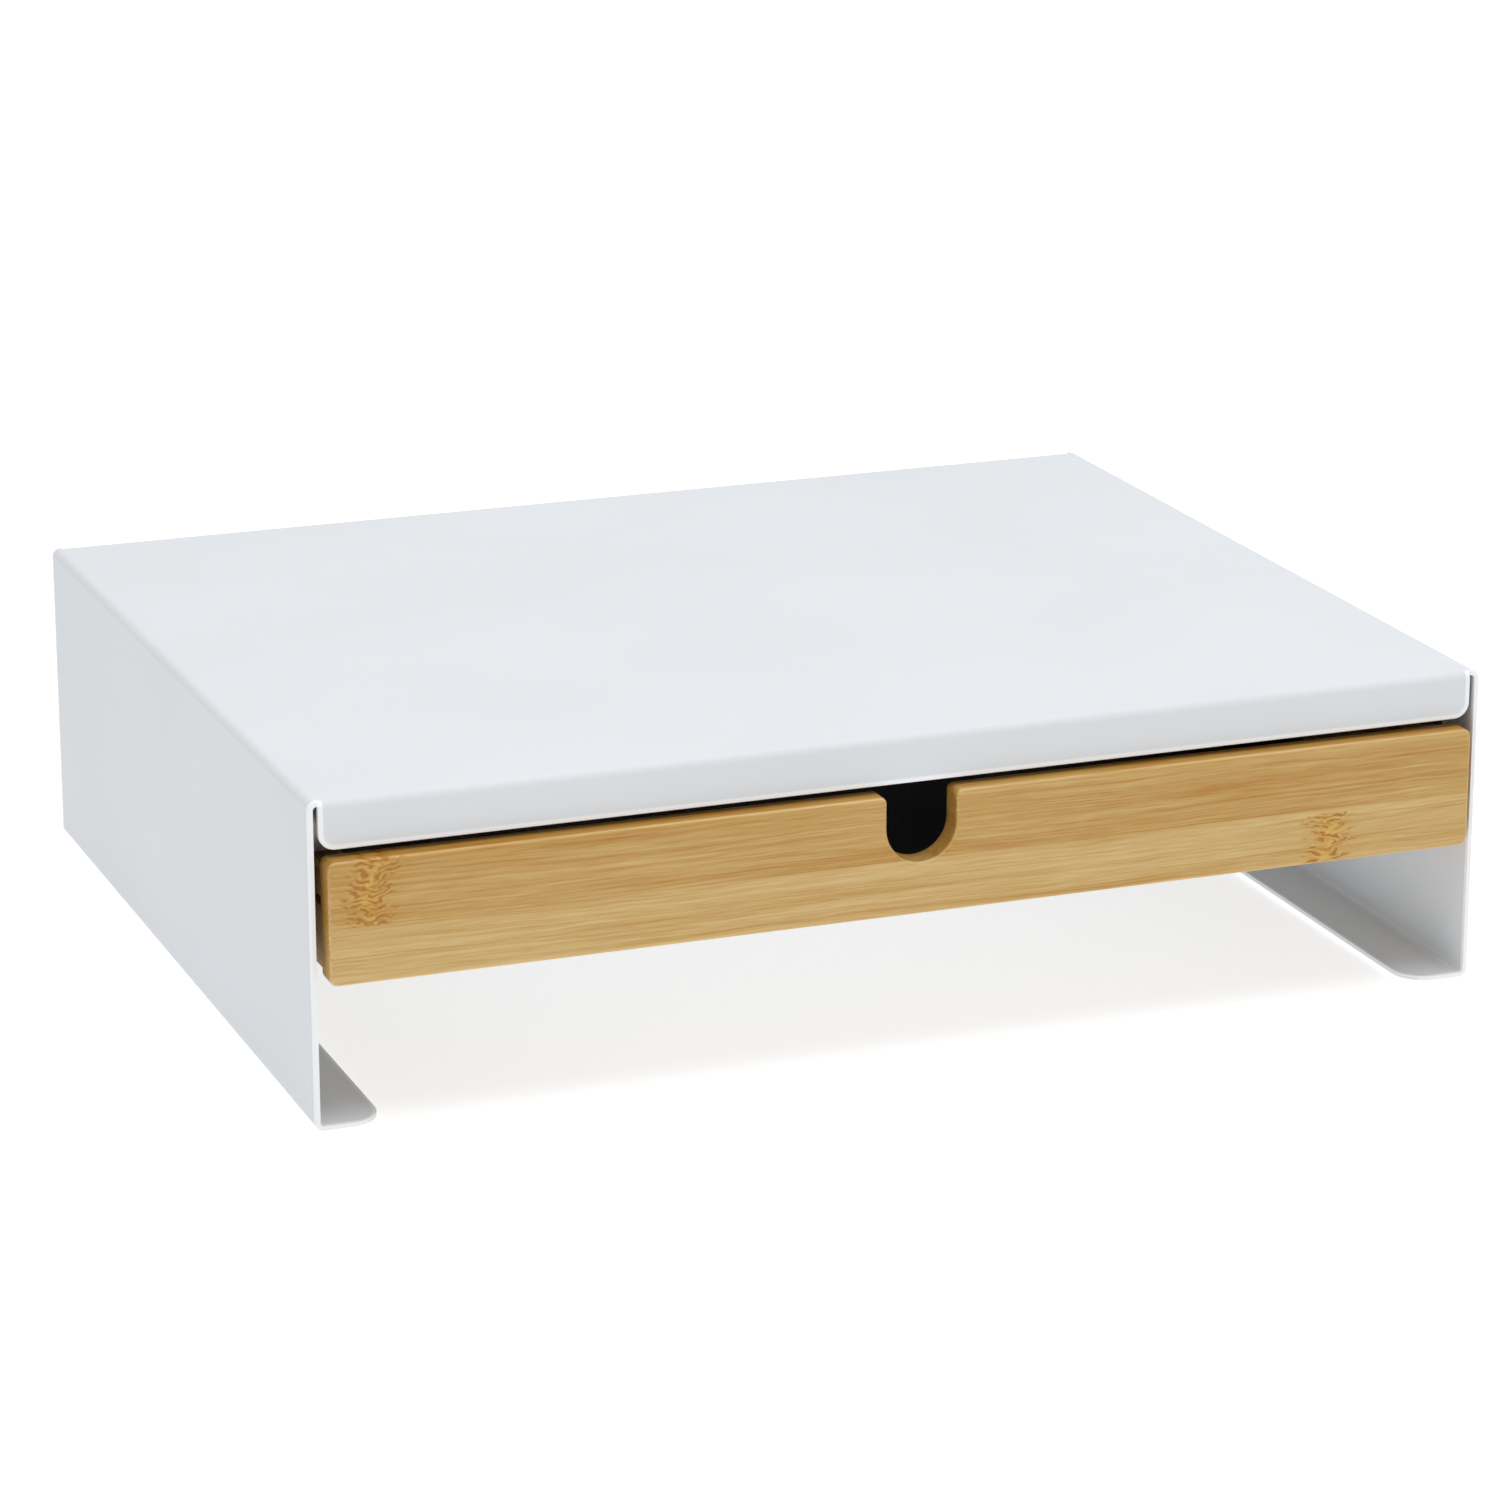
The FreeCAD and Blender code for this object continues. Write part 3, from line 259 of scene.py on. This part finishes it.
class Recipe(Tree):
    """The node tree of a new material for a piece."""

    def __init__(self, name):
        self.material = bpy.data.materials.new(name)
        super().__init__(self.material)
        self.surface = self.node("ShaderNodeBsdfPrincipled")
        self.node("ShaderNodeOutputMaterial", self.surface.outputs[0])

    def set(self, **values):
        """Feeds the surface shader; base_color stands for its Base Color socket."""
        for key, value in values.items():
            self.feed(self.surface.inputs[key.replace("_", " ").title()], value)

    def gloss(self, level):
        self.surface.inputs["Specular IOR Level"].default_value = level

    def bump(self, height, distance):
        made = self.node("ShaderNodeBump")
        self.feed(made.inputs["Distance"], distance)
        self.feed(made.inputs["Height"], height)
        self.feed(self.surface.inputs["Normal"], made.outputs[0])

    def mix(self, share, first, second, blend="MIX"):
        """Colour between two colours."""
        made = self.node("ShaderNodeMix", share, data_type="RGBA", blend_type=blend, clamp_factor=True)
        self.feed(made.inputs[6], first)
        self.feed(made.inputs[7], second)
        return made.outputs[2]

    def ramp(self, value, stops):
        """Colour for a value, from pairs of position and colour."""
        made = self.node("ShaderNodeValToRGB", value)
        bar = made.color_ramp
        while len(bar.elements) < len(stops):
            bar.elements.new(1.0)
        for element, (position, shade) in zip(bar.elements, stops):
            element.position = position
            element.color = colour(shade)
        return made.outputs[0]

    def place(self):
        """The point's own place on the piece, as three sockets in millimetres."""
        source = self.node("ShaderNodeTexCoord")
        apart = self.node("ShaderNodeSeparateXYZ", source.outputs["Object"])
        return [self.times(axis, 1 / MILLIMETRE) for axis in apart.outputs]

    def point(self, x, y, z):
        return self.result("ShaderNodeCombineXYZ", x, y, z)

    def noise(self, where, scale=1.0, detail=2.0, distortion=0.0):
        """Soft noise between 0 and 1; the scale says how many bumps fit in a millimetre."""
        made = self.node("ShaderNodeTexNoise", where)
        self.feed(made.inputs["Scale"], scale)
        self.feed(made.inputs["Detail"], detail)
        self.feed(made.inputs["Distortion"], distortion)
        return made.outputs["Fac"]

    def spread(self, noise, low, high):
        """A noise's usual values, spread from low to high."""
        return self.remap(noise, 0.3, 0.7, low, high)

    def swing(self, noise, reach):
        """A noise's swing to either side of 0."""
        return self.times(self.take(noise, 0.5), reach)

    def chance(self, where):
        """A steady random number for each whole-number place."""
        return self.node("ShaderNodeTexWhiteNoise", where).outputs["Value"]

    def normal(self):
        return self.node("ShaderNodeNewGeometry").outputs["Normal"]

    def facing(self, axis):
        """How squarely the surface faces along X, Y or Z, from -1 to 1."""
        return self.node("ShaderNodeSeparateXYZ", self.normal()).outputs[axis]

    def near_edge(self, width):
        """1 close to a cut edge and 0 further from it than the width."""
        rounded = self.result("ShaderNodeBevel", width, samples=8)
        compare = self.node("ShaderNodeVectorMath", rounded, self.normal(), operation="DOT_PRODUCT")
        return self.remap(compare.outputs["Value"], 0.997, 0.965)


def colour(values):
    return (*values, 1.0)


def grey(level):
    return (level, level, level, 1.0)


def dress(node_names, material):
    for name in node_names:
        for slot in NODES[name].material_slots:
            slot.material = material


def millimetre_box(name):
    """A piece's lowest and highest corners, in millimetres."""
    return [Vector(corner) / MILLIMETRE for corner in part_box(name)]


# Finishes

def lip_edge_highlight(recipe, x, y, z):
    """1 on the last stretch of the folded lips before their cut edge, where the coat gets a painted
    highlight.
    """
    low, high = millimetre_box("steel_stand")
    across = recipe.take(recipe.maths("ABSOLUTE", x), high.x - LIP_INSET - LIP_CORNER)
    down = recipe.take(high.z - LIP_HEIGHT + LIP_CORNER, z)
    round_part = recipe.maths("SQRT", recipe.add(
        recipe.maths("POWER", recipe.maths("MAXIMUM", across, 0.0), 2.0),
        recipe.maths("POWER", recipe.maths("MAXIMUM", down, 0.0), 2.0)))
    flat_part = recipe.maths("MINIMUM", recipe.maths("MAXIMUM", across, down), 0.0)
    inside = recipe.take(LIP_CORNER, recipe.add(round_part, flat_part))
    on_lip = recipe.maths("MAXIMUM", recipe.take(low.y + LIP_THICKNESS, y),
                          recipe.take(y, high.y - LIP_THICKNESS))
    return recipe.times(recipe.remap(inside, LIP_HIGHLIGHT_FAR, LIP_HIGHLIGHT_NEAR, smooth=True),
                        recipe.remap(on_lip, -0.1, 0.1))


def powder_coat(settings):
    """White powder coat with a fine orange-peel texture, and a painted highlight of paler white on the cut
    edges.
    """
    recipe = Recipe("white_powder_coat_finish")
    x, y, z = recipe.place()
    here = recipe.point(x, y, z)
    peel = recipe.noise(here, scale=MILLIMETRE / settings.peel_size, detail=3)
    shade = recipe.spread(recipe.noise(here, scale=0.012), 0.985, 1.015)
    tint = recipe.mix(1.0, colour(settings.colour), recipe.point(shade, shade, shade), blend="MULTIPLY")
    # Painted highlight along the cut edges and the lips' rims.
    edge = recipe.maths("MAXIMUM", recipe.near_edge(settings.edge_width), lip_edge_highlight(recipe, x, y, z))
    recipe.set(base_color=recipe.mix(edge, tint, colour(settings.edge_highlight_colour)))
    recipe.set(roughness=recipe.spread(peel, settings.roughness - 0.04, settings.roughness + 0.04))
    recipe.gloss(settings.gloss)
    recipe.bump(peel, settings.peel_depth)
    return recipe.material


def growth_ring(recipe, along, depth, up, centre, low, high):
    """The strokes, pale chain and reach of a growth ring, where the cane had a joint.

    The ring crosses the grain at centre, from low to high, in millimetres. The strokes bow down on
    both sides of the chain; they go below 0 where dark and above where pale."""
    wander = recipe.swing(recipe.noise(recipe.point(centre, depth, up), scale=0.42, detail=1), RING_WANDER)
    lean = recipe.times(recipe.take(up, (low + high) / 2), RING_LEAN)
    off = recipe.take(recipe.take(along, centre), recipe.add(lean, wander))
    side = recipe.maths("ABSOLUTE", off)
    inside = recipe.times(recipe.remap(up, low - 0.3, low + 0.3),
                          recipe.remap(up, high + 0.3, high - 0.3))

    def share_near(distance, reach):
        ratio = recipe.times(distance, 1 / reach)
        bell = recipe.maths("EXPONENT", recipe.times(recipe.times(ratio, ratio), -1.0))
        return recipe.times(bell, inside)

    sag = recipe.noise(recipe.point(recipe.times(off, 0.26), centre, recipe.times(up, 0.26)), detail=0.5)
    bow = recipe.add(recipe.take(up, recipe.times(side, STROKE_DROOP)), recipe.times(sag, STROKE_SAG))
    wave = recipe.maths("SINE", recipe.times(bow, 2 * math.pi / STROKE_SPACING))
    dark_stroke = recipe.remap(wave, 0.2, -0.85, smooth=True)
    pale_stroke = recipe.remap(wave, 0.2, 1.0, smooth=True)
    breaks = recipe.noise(recipe.point(recipe.times(off, 0.4), centre, recipe.times(bow, 0.75)), detail=1)
    flank = recipe.times(recipe.remap(breaks, 0.38, 0.5, smooth=True),
                         share_near(recipe.take(side, STROKE_MIDDLE), STROKE_REACH))
    strokes = recipe.times(recipe.take(recipe.times(pale_stroke, 0.35), dark_stroke), flank)

    bead = recipe.remap(recipe.noise(recipe.point(off, 0.0, up), scale=0.55, detail=0.5), 0.40, 0.55)
    return strokes, recipe.times(bead, share_near(off, CHAIN_REACH)), share_near(off, RING_REACH)


def bamboo(name, settings, joint, grain="X", seed=0.0, rings=()):
    """Bamboo glued from two strips, the lower one paler.

    The grain runs along X or Y and the strips meet at the height named joint. Each ring is a place
    along the grain and the lowest and highest reach of the cane's joint there, all in millimetres."""
    recipe = Recipe(name)
    x, y, z = recipe.place()
    along, depth, up = (x, y, z) if grain == "X" else (y, x, z)
    board_face = recipe.maths("ABSOLUTE", recipe.facing("Y" if grain == "X" else "X"))
    sawn_face = recipe.maths("ABSOLUTE", recipe.facing(grain))

    strokes = pale_chain = fade = 0.0
    for ring in rings:
        more_strokes, more_chain, more_fade = growth_ring(recipe, along, depth, up, *ring)
        strokes = recipe.add(strokes, more_strokes)
        pale_chain = recipe.add(pale_chain, more_chain)
        fade = recipe.add(fade, more_fade)

    # Every glued layer and strip has its own stretch of the grain
    layer = recipe.maths("FLOOR", recipe.times(recipe.add(depth, 0.5 + seed),
                                               MILLIMETRE / settings.layer_thickness))
    upper = recipe.remap(up, joint - 0.05, joint + 0.05)
    draw = recipe.chance(recipe.point(upper, layer, seed + 0.5))
    start = recipe.add(recipe.times(draw, LAYER_START), recipe.times(upper, STRIP_START))
    run = recipe.add(along, start)

    # Long and short waves that bend the grain up and down
    sway = recipe.noise(recipe.point(recipe.times(run, 1 / 120), 0.0, recipe.times(up, 1 / 14)), detail=1)
    ripple = recipe.noise(recipe.point(recipe.times(run, 1 / 26), 5.0, recipe.times(up, 1 / 8)), detail=1)
    level = recipe.add(recipe.add(up, recipe.swing(sway, 3.4)), recipe.swing(ripple, 1.2))

    noises = {}
    for layer_name, (length, width, detail, shift) in GRAIN_LAYERS.items():
        where = recipe.point(recipe.times(recipe.add(run, shift), 1 / length),
                             recipe.times(depth, 1 / width),
                             recipe.times(level, 1 / width))
        noises[layer_name] = recipe.noise(where, detail=detail)
    fibres = noises["fibres"]
    ridge = recipe.maths("ABSOLUTE", recipe.take(noises["ridges"], 0.5))
    lines = recipe.remap(ridge, 0.06, 0.01, smooth=True)
    line_share = recipe.remap(noises["patches"], 0.36, 0.6)
    glue = recipe.remap(recipe.maths("ABSOLUTE", recipe.take(up, joint)), 0.45, 0.1)

    # The tone goes from 0, brown, to 1, pale; the long grain fades at a ring
    tone = recipe.add(recipe.swing(noises["bands"], 0.4), recipe.swing(noises["streaks"], 0.65))
    tone = recipe.add(tone, recipe.swing(noises["flecks"], 0.25))
    tone = recipe.take(tone, recipe.times(recipe.times(lines, line_share), 0.15))
    tone = recipe.times(tone, recipe.take(1.0, recipe.times(fade, 0.55)))
    tone = recipe.add(tone, recipe.swing(fibres, 0.42))
    tone = recipe.add(tone, recipe.remap(up, joint - 1.8, joint + 1.8, 0.635, 0.505, smooth=True))
    tone = recipe.add(tone, recipe.swing(draw, 0.08))
    tone = recipe.take(tone, recipe.times(recipe.times(glue, line_share), 0.2))
    tone = recipe.add(tone, recipe.times(strokes, 0.56))
    tone = recipe.take(tone, recipe.times(fade, 0.06))
    tone = recipe.add(tone, recipe.times(pale_chain, 0.4))

    # The cane's bundles show as dots on a sawn end
    dots = recipe.node("ShaderNodeTexVoronoi", recipe.point(recipe.times(along, 0.02), depth, up))
    dots.inputs["Scale"].default_value = 1.15
    dot = recipe.remap(dots.outputs["Distance"], 0.34, 0.2)
    sawn_end = recipe.remap(sawn_face, 0.6, 0.9)
    tone = recipe.take(tone, recipe.times(recipe.times(dot, sawn_end), 0.22))

    # Painted highlight: the rounded corners between a board's face and its edges are paler. Painted shade:
    # the top, bottom and end faces are darker.
    corner = recipe.times(recipe.remap(board_face, 0.97, 0.8), recipe.remap(board_face, 0.3, 0.6))
    tone = recipe.add(tone, recipe.times(corner, 0.12))
    tone = recipe.take(tone, recipe.remap(board_face, 0.5, 0.2, 0.0, 0.17))

    wood = recipe.ramp(tone, ((0.1, settings.brown), (0.5, settings.golden), (0.9, settings.pale)))
    wood = recipe.mix(fade, wood, colour(settings.ring_tint), blend="MULTIPLY")
    wood = recipe.mix(recipe.remap(strokes, -0.1, -0.9, 0.0, 0.85), wood, colour(settings.amber))
    recipe.set(base_color=wood)
    recipe.set(roughness=recipe.spread(fibres, settings.roughness + 0.06, settings.roughness - 0.05))
    recipe.bump(recipe.take(fibres, recipe.times(lines, 0.3)), 0.00003)
    return recipe.material


def plated_steel(settings):
    recipe = Recipe("zinc_steel_finish")
    mottle = recipe.noise(recipe.point(*recipe.place()), scale=0.5, detail=3)
    recipe.set(base_color=colour(settings.zinc), metallic=1.0)
    recipe.set(roughness=recipe.spread(mottle, 0.28, 0.42))
    return recipe.material


def moulded(name, shade, grain_scale, smoothest, roughest):
    """Moulded plastic or rubber with a fine grain."""
    recipe = Recipe(name)
    grain = recipe.noise(recipe.point(*recipe.place()), scale=grain_scale)
    recipe.set(base_color=colour(shade))
    recipe.set(roughness=recipe.spread(grain, smoothest, roughest))
    recipe.bump(grain, 0.00001)
    return recipe.material


def black_board(settings):
    """Fibre board with pale grey paint below; its black upper face is painted shade, a dark sheet standing
    in for the shade inside the drawer.
    """
    recipe = Recipe("black_board_finish")
    here = recipe.point(*recipe.place())
    # Painted shade: upward faces get the black, a dark sheet standing in for the shade inside the drawer.
    shade_film = recipe.remap(recipe.facing("Z"), 0.2, 0.6)
    grain = recipe.noise(here, scale=1.4, detail=4)
    fibres = recipe.noise(here, scale=2.2, detail=3, distortion=1.5)
    clouds = recipe.noise(here, scale=0.03)
    pressed = recipe.mix(recipe.remap(fibres, 0.40, 0.28, 0.0, 0.6),
                         colour(settings.fibre), colour(settings.fibre_dark))
    pressed = recipe.mix(recipe.remap(clouds, 0.35, 0.7, 0.0, 0.25), pressed, colour(settings.fibre_warm))
    black = recipe.mix(recipe.remap(grain, 0.62, 0.72, 0.0, 0.35),
                       colour(settings.board), colour(settings.board_speck))
    recipe.set(base_color=recipe.mix(shade_film, pressed, black))
    recipe.set(roughness=recipe.maths("MAXIMUM", recipe.spread(grain, 0.5, 0.66),
                                      recipe.remap(shade_film, 0.0, 1.0, 0.85, 0.0)))
    recipe.gloss(0.3)
    recipe.bump(grain, 0.00003)
    return recipe.material


# Pieces

class STAND_OT_steel(Operator):
    """Coats the bent steel sheet white, with a painted highlight along its cut edges"""
    bl_idname = "monitor_stand.steel"
    bl_label = "Coat the Steel Stand"
    bl_options = {"REGISTER", "UNDO"}

    def execute(self, context):
        dress(["steel_stand"], powder_coat(context.scene.stand_coat))
        return {"FINISHED"}


class STAND_OT_drawer_front(Operator):
    """Gives the drawer front its laminated bamboo with two growth rings"""
    bl_idname = "monitor_stand.drawer_front"
    bl_label = "Finish the Drawer Front"
    bl_options = {"REGISTER", "UNDO"}

    def execute(self, context):
        settings = context.scene.stand_bamboo
        low, high = millimetre_box("drawer_front")
        joint = low.z + settings.lower_strip / MILLIMETRE
        rings = ((low.x + settings.left_ring / MILLIMETRE, joint, high.z),
                 (high.x - settings.right_ring / MILLIMETRE, low.z, joint - STRIP_MARGIN))
        dress(["drawer_front"], bamboo("front_bamboo", settings, joint, rings=rings))
        return {"FINISHED"}


class STAND_OT_drawer_box(Operator):
    """Finishes the drawer's sides, back, dowels and bottom"""
    bl_idname = "monitor_stand.drawer_box"
    bl_label = "Finish the Drawer Box"
    bl_options = {"REGISTER", "UNDO"}

    def execute(self, context):
        settings = context.scene.stand_bamboo
        boards = (("drawer_left_side", "left_side_bamboo", "Y", 3),
                  ("drawer_right_side", "right_side_bamboo", "Y", 5),
                  ("drawer_back", "back_bamboo", "X", 8),
                  ("drawer_front_dowels", "dowel_bamboo", "Y", 11))
        for piece, finish, grain, seed in boards:
            dress([piece], bamboo(finish, settings, BOX_STRIP_JOINT, grain=grain, seed=seed))
        dress(["drawer_bottom"], black_board(context.scene.stand_hardware))
        return {"FINISHED"}


class STAND_OT_hardware(Operator):
    """Finishes the runners, glide strips, stops, feet and fasteners"""
    bl_idname = "monitor_stand.hardware"
    bl_label = "Finish the Hardware"
    bl_options = {"REGISTER", "UNDO"}

    def execute(self, context):
        settings = context.scene.stand_hardware
        dress(["left_runner", "right_runner", "runner_studs", "runner_washers", "runner_nuts",
               "drawer_back_screws", "drawer_bottom_screws", "left_block_screw", "right_block_screw"],
              plated_steel(settings))
        # Painted shade: black plastic standing in for shade in the gaps round the drawer.
        dress(["left_glide_strip", "right_glide_strip", "left_stop_block", "right_stop_block"],
              moulded("black_plastic_finish", settings.plastic, 3.0, 0.38, 0.5))
        dress(["left_bumper", "right_bumper", "front_left_foot", "front_right_foot",
               "rear_left_foot", "rear_right_foot"],
              moulded("grey_rubber_finish", settings.rubber, 4.0, 0.7, 0.85))
        return {"FINISHED"}


# Studio

def seen_directly(tree):
    """1 where the camera, a reflection or clear glass looks at the surface, 0 where light bounces off it."""
    path = tree.node("ShaderNodeLightPath").outputs
    through = tree.maths("MAXIMUM", path["Is Glossy Ray"], path["Is Transmission Ray"])
    return tree.maths("MAXIMUM", path["Is Camera Ray"], through)


def floor_material(table):
    """A white light table that keeps a soft shadow, and can be looked through from below."""
    material = bpy.data.materials.new("floor_finish")
    tree = Tree(material)
    bounce = tree.result("ShaderNodeAddShader", tree.result("ShaderNodeBsdfDiffuse", grey(BOUNCE_GREY)),
                         tree.result("ShaderNodeEmission", WHITE, table))

    place = tree.node("ShaderNodeNewGeometry").outputs
    distance = tree.node("ShaderNodeVectorMath", place["Position"], operation="LENGTH").outputs["Value"]
    strength = tree.remap(distance, GLOW_NEAR, GLOW_FAR, GLOW_NEAR_STRENGTH, GLOW_FAR_STRENGTH)
    white = tree.result("ShaderNodeAddShader", tree.result("ShaderNodeBsdfDiffuse", grey(SHADOW_GREY)),
                        tree.result("ShaderNodeEmission", WHITE, strength))

    top = tree.result("ShaderNodeMixShader", seen_directly(tree), bounce, white)
    clear = tree.result("ShaderNodeBsdfTransparent")
    both = tree.result("ShaderNodeMixShader", place["Backfacing"], top, clear)
    tree.node("ShaderNodeOutputMaterial", both)
    return material


def sky(strength):
    """Even light from all round, white where it is looked at."""
    world = bpy.data.worlds.new("studio_light")
    bpy.context.scene.world = world
    tree = Tree(world)
    light = tree.result("ShaderNodeBackground", WHITE, strength)
    white = tree.result("ShaderNodeBackground", WHITE)
    tree.node("ShaderNodeOutputWorld", tree.result("ShaderNodeMixShader", seen_directly(tree), light, white))


def towards(azimuth, elevation):
    """Direction from the stand to a place round it; azimuth 0 is straight before the drawer."""
    return Vector((math.sin(azimuth) * math.cos(elevation),
                   -math.cos(azimuth) * math.cos(elevation),
                   math.sin(elevation)))


def soft_lamp(name, azimuth, elevation, distance, width, height, power):
    """A soft rectangular lamp that faces the stand; its angles are in degrees."""
    data = bpy.data.lights.new(name, "AREA")
    data.shape = "RECTANGLE"
    data.size = width
    data.size_y = height
    data.energy = power
    lamp = bpy.data.objects.new(name, data)
    out = towards(math.radians(azimuth), math.radians(elevation))
    lamp.location = Vector((0, 0, LAMP_TARGET_HEIGHT)) + out * distance
    lamp.rotation_euler = (-out).to_track_quat("-Z", "Y").to_euler()
    bpy.context.scene.collection.objects.link(lamp)


class STAND_OT_studio(Operator):
    """Makes the floor, the light and the camera"""
    bl_idname = "monitor_stand.studio"
    bl_label = "Make the Studio"
    bl_options = {"REGISTER", "UNDO"}

    def execute(self, context):
        settings = context.scene.stand_studio
        scene = context.scene
        scene.view_settings.view_transform = "Standard"

        mesh = bpy.data.meshes.new("floor")
        half = FLOOR_HALF_WIDTH
        mesh.from_pydata([(-half, -half, 0), (half, -half, 0), (half, half, 0), (-half, half, 0)], [],
                         [(0, 1, 2, 3)])
        mesh.materials.append(floor_material(settings.table))
        floor = bpy.data.objects.new("floor", mesh)
        scene.collection.objects.link(floor)

        sky(settings.sky)
        soft_lamp("overhead_lamp", azimuth=15, elevation=80, distance=1.5, width=1.6, height=1.2,
                  power=settings.overhead)

        lens = bpy.data.cameras.new("camera")
        lens.lens = settings.lens
        lens.clip_start = 0.05
        lens.clip_end = 50
        camera = bpy.data.objects.new("camera", lens)
        out = towards(settings.azimuth, settings.elevation)
        camera.location = Vector(settings.aim) + out * settings.distance
        camera.rotation_euler = (-out).to_track_quat("-Z", "Y").to_euler()
        scene.collection.objects.link(camera)
        scene.camera = camera
        return {"FINISHED"}


class STAND_PT_panel(Panel):
    """Lists what makes the stand"""
    bl_idname = "STAND_PT_panel"
    bl_label = "Monitor Stand"
    bl_space_type = "VIEW_3D"
    bl_region_type = "UI"
    bl_category = "Stand"

    def draw(self, context):
        layout = self.layout
        for operator in OPERATORS:
            layout.operator(operator.bl_idname)
        for name, group in SETTINGS.items():
            box = layout.box()
            box.label(text=group.__doc__)
            for field in group.__annotations__:
                box.prop(getattr(context.scene, name), field)


OPERATORS = (STAND_OT_steel, STAND_OT_drawer_front, STAND_OT_drawer_box, STAND_OT_hardware, STAND_OT_studio)
CLASSES = (*SETTINGS.values(), *OPERATORS, STAND_PT_panel)


def register():
    for entry in CLASSES:
        bpy.utils.register_class(entry)
    for name, group in SETTINGS.items():
        setattr(bpy.types.Scene, name, PointerProperty(type=group))


def unregister():
    for name in SETTINGS:
        delattr(bpy.types.Scene, name)
    for entry in reversed(CLASSES):
        bpy.utils.unregister_class(entry)


def main():
    register()
    bpy.ops.monitor_stand.steel()
    bpy.ops.monitor_stand.drawer_front()
    bpy.ops.monitor_stand.drawer_box()
    bpy.ops.monitor_stand.hardware()
    bpy.ops.monitor_stand.studio()


if __name__ == "__main__":
    main()
